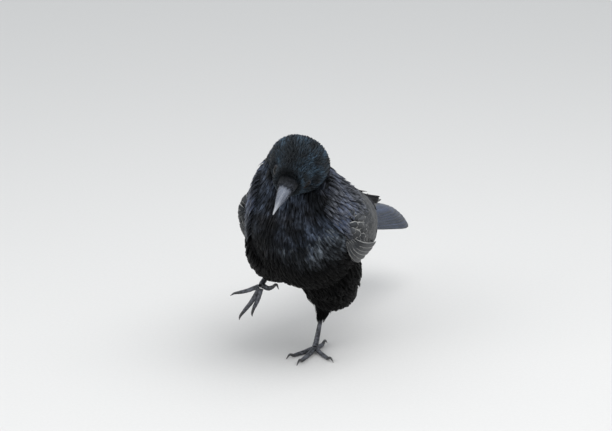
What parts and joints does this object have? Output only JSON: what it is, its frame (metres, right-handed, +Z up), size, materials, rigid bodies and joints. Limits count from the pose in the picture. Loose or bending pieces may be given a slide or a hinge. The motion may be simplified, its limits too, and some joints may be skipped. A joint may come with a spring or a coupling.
{
  "type": "carrion crow",
  "caption": "Life-size still carrion crow in mid-stride: weight on its left foot, right foot swinging forward, head lowered and cocked, wings folded, tail trailing low.",
  "frame": {"origin": "middle of the box round the crow, on the ground it stands on", "axes": "+Z up, the crow walks towards -Y with its tail towards +Y, and its left side is towards +X"},
  "size_m": [0.1446, 0.3938, 0.2513],
  "materials": {
    "plumage": "soft black contour feathers with a blue-grey gloss",
    "flight_feathers": "worn black-brown flight and tail feathers with pale edges and a blue-grey gloss",
    "bill_horn": "satin dark grey horn, paler along the ridge and at the tip",
    "claw_horn": "polished black horn",
    "leg_skin": "satin black scaled skin with dusty grey edges",
    "eye": "wet, very dark brown"
  },
  "bodies": {
    "root": {"trunk": "plumage", "neck": "plumage", "head": "plumage", "bill_upper": "bill_horn", "bill_lower": "bill_horn", "eye_left": "eye", "thigh_left": "plumage", "wing_left": "flight_feathers", "shank_left": "leg_skin", "toe_left_hind": "leg_skin", "claw_left_hind": "claw_horn", "toe_left_inner": "leg_skin", "claw_left_inner": "claw_horn", "toe_left_middle": "leg_skin", "claw_left_middle": "claw_horn", "toe_left_outer": "leg_skin", "claw_left_outer": "claw_horn", "eye_right": "eye", "thigh_right": "plumage", "wing_right": "flight_feathers", "shank_right": "leg_skin", "toe_right_hind": "leg_skin", "claw_right_hind": "claw_horn", "toe_right_inner": "leg_skin", "claw_right_inner": "claw_horn", "toe_right_middle": "leg_skin", "claw_right_middle": "claw_horn", "toe_right_outer": "leg_skin", "claw_right_outer": "claw_horn", "tail": "flight_feathers"}
  },
  "joints": []
}
